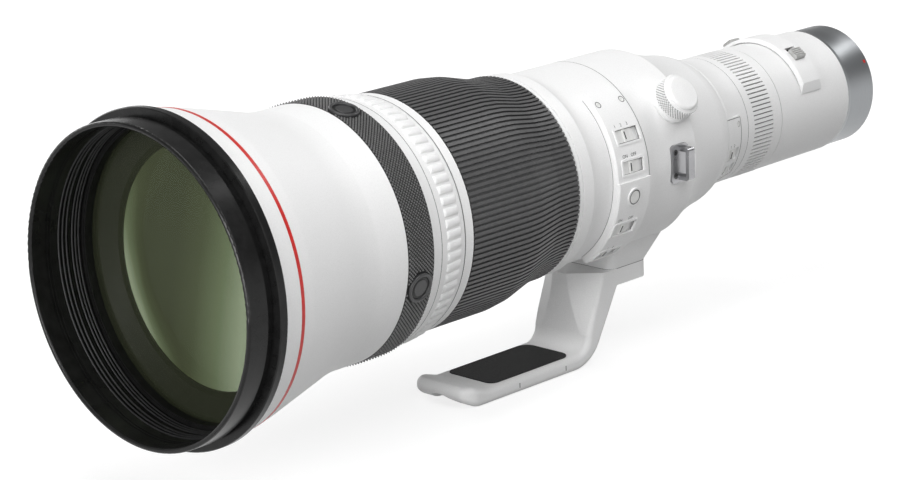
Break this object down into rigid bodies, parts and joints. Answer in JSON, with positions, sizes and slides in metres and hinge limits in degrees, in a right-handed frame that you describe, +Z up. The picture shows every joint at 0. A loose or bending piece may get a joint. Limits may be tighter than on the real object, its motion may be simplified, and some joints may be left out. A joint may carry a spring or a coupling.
{
  "type": "super telephoto lens",
  "caption": "White super telephoto camera lens with a black front rim, ribbed focus ring, switch panels, drop-in filter holder and a rotating tripod collar with a long foot.",
  "frame": {"origin": "centre of the camera mount's seating face, on the optical axis", "axes": "+X along the optical axis towards the subject, +Y to the lens's left where the switches are, +Z up, away from the foot"},
  "size_m": [0.543, 0.168, 0.1953],
  "materials": {
    "white_paint": "satin",
    "black_paint": "semi-gloss",
    "inner_black": "matt black anodised",
    "bare_metal": "fine turned",
    "bayonet_chrome": "bright",
    "steel": "satin",
    "dark_steel": "blackened",
    "grip_rubber": "matt",
    "pad_rubber": "matt",
    "black_plastic": "matt",
    "switch_white": "satin",
    "button_grey": "satin",
    "red_enamel": "gloss",
    "contact_gold": "plated",
    "front_glass": "coated",
    "inner_glass": "coated"
  },
  "bodies": {
    "lens_body": {"mount_flange": "bayonet_chrome", "mount_screws": "steel", "mount_skirt": "bare_metal", "mount_gasket": "pad_rubber", "contact_block": "black_plastic", "contact_pins": "contact_gold", "rear_lens_cell": "inner_black", "rear_element": "inner_glass", "rear_barrel": "white_paint", "rear_cone": "white_paint", "rear_switch_panel": "white_paint", "main_body": "white_paint", "main_switch_panel": "white_paint", "panel_screws": "steel", "ring_carrier": "white_paint", "front_bell": "white_paint", "red_line_ring": "red_enamel", "knurled_grip": "grip_rubber", "button_bezels": "button_grey", "front_rim": "black_paint", "front_lens_cell": "inner_black", "front_element": "front_glass", "second_element": "inner_glass", "retaining_ring": "inner_black", "focus_guide_rods": "steel", "focus_motor": "inner_black", "iris_unit": "inner_black", "stabiliser_frame": "inner_black"},
    "focus_ring": {"focus_ring_sleeve": "bare_metal", "focus_ring_rubber": "grip_rubber"},
    "playback_ring": {"playback_ring": "white_paint"},
    "control_ring": {"control_ring": "white_paint"},
    "collar": {"collar_ring": "white_paint", "strap_lugs": "steel", "strap_lug_screws": "dark_steel", "foot": "white_paint", "foot_pad": "pad_rubber", "foot_bolts": "dark_steel"},
    "lock_knob": {"lock_knob": "white_paint", "lock_screw": "steel"},
    "stabiliser_mode_switch": {"stabiliser_mode_switch": "switch_white"},
    "stabiliser_power_switch": {"stabiliser_power_switch": "switch_white"},
    "preset_switch": {"preset_switch": "switch_white"},
    "preset_mode_switch": {"preset_mode_switch": "switch_white"},
    "set_button": {"set_button": "switch_white"},
    "focus_mode_switch": {"focus_mode_switch": "switch_white"},
    "focus_range_switch": {"focus_range_switch": "switch_white"},
    "function_button_1": {"function_button_1": "button_grey"},
    "function_button_2": {"function_button_2": "button_grey"},
    "function_button_3": {"function_button_3": "button_grey"},
    "function_button_4": {"function_button_4": "button_grey"},
    "filter_holder": {"filter_cover": "white_paint", "filter_holder": "black_plastic", "filter_glass": "inner_glass"},
    "filter_release_left": {"filter_release_left": "switch_white"},
    "filter_release_right": {"filter_release_right": "switch_white"},
    "focus_group": {"focus_cell": "inner_black", "focus_element": "inner_glass"},
    "stabiliser_group": {"stabiliser_carrier": "inner_black", "stabiliser_element": "inner_glass"}
  },
  "joints": [
    {"name": "collar_turn", "type": "hinge", "parent": "lens_body", "child": "collar", "pos_m": [0.2, 0, 0], "axis": [1, 0, 0], "continuous": true},
    {"name": "lock_turn", "type": "hinge", "parent": "collar", "child": "lock_knob", "pos_m": [0.1966, 0.04421, 0.03153], "axis": [0, 0.8141, 0.5807], "range_deg": [0, 300]},
    {"name": "focus_turn", "type": "hinge", "parent": "lens_body", "child": "focus_ring", "pos_m": [0.327, 0, 0], "axis": [1, 0, 0], "continuous": true},
    {"name": "playback_turn", "type": "hinge", "parent": "lens_body", "child": "playback_ring", "pos_m": [0.3866, 0, 0], "axis": [1, 0, 0], "range_deg": [-12, 12], "stiffness_Nm_per_rad": 0.5},
    {"name": "control_turn", "type": "hinge", "parent": "lens_body", "child": "control_ring", "pos_m": [0.104, 0, 0], "axis": [1, 0, 0], "continuous": true},
    {"name": "stabiliser_mode_slide", "type": "slide", "parent": "lens_body", "child": "stabiliser_mode_switch", "axis": [1, 0, 0], "range_m": [-0.0042, 0]},
    {"name": "stabiliser_power_slide", "type": "slide", "parent": "lens_body", "child": "stabiliser_power_switch", "axis": [1, 0, 0], "range_m": [-0.0036, 0]},
    {"name": "preset_slide", "type": "slide", "parent": "lens_body", "child": "preset_switch", "axis": [1, 0, 0], "range_m": [-0.004, 0]},
    {"name": "preset_mode_slide", "type": "slide", "parent": "lens_body", "child": "preset_mode_switch", "axis": [1, 0, 0], "range_m": [-0.004, 0]},
    {"name": "focus_mode_slide", "type": "slide", "parent": "lens_body", "child": "focus_mode_switch", "axis": [1, 0, 0], "range_m": [-0.003, 0]},
    {"name": "focus_range_slide", "type": "slide", "parent": "lens_body", "child": "focus_range_switch", "axis": [1, 0, 0], "range_m": [-0.003, 0]},
    {"name": "set_press", "type": "slide", "parent": "lens_body", "child": "set_button", "axis": [0, -0.9869, 0.1616], "range_m": [0, 0.0006], "stiffness_N_per_m": 800},
    {"name": "function_press_1", "type": "slide", "parent": "lens_body", "child": "function_button_1", "axis": [0, -0.2571, -0.9664], "range_m": [0, 0.0008], "stiffness_N_per_m": 600},
    {"name": "function_press_2", "type": "slide", "parent": "lens_body", "child": "function_button_2", "axis": [0, -0.9664, 0.2571], "range_m": [0, 0.0008], "stiffness_N_per_m": 600},
    {"name": "function_press_3", "type": "slide", "parent": "lens_body", "child": "function_button_3", "axis": [0, 0.2571, 0.9664], "range_m": [0, 0.0008], "stiffness_N_per_m": 600},
    {"name": "function_press_4", "type": "slide", "parent": "lens_body", "child": "function_button_4", "axis": [0, 0.9664, -0.2571], "range_m": [0, 0.0008], "stiffness_N_per_m": 600},
    {"name": "filter_lift", "type": "slide", "parent": "lens_body", "child": "filter_holder", "axis": [0, 0, 1], "range_m": [0, 0.075]},
    {"name": "release_left_pinch", "type": "slide", "parent": "filter_holder", "child": "filter_release_left", "axis": [0, -0.7986, 0.6018], "range_m": [0, 0.0025], "stiffness_N_per_m": 300},
    {"name": "release_right_pinch", "type": "slide", "parent": "filter_holder", "child": "filter_release_right", "axis": [0, 0.7986, 0.6018], "range_m": [0, 0.0025], "stiffness_N_per_m": 300},
    {"name": "focus_travel", "type": "slide", "parent": "lens_body", "child": "focus_group", "axis": [1, 0, 0], "range_m": [-0.025, 0.025]},
    {"name": "stabiliser_shift", "type": "slide", "parent": "lens_body", "child": "stabiliser_group", "axis": [0, 0, 1], "range_m": [-0.001, 0.001]}
  ]
}
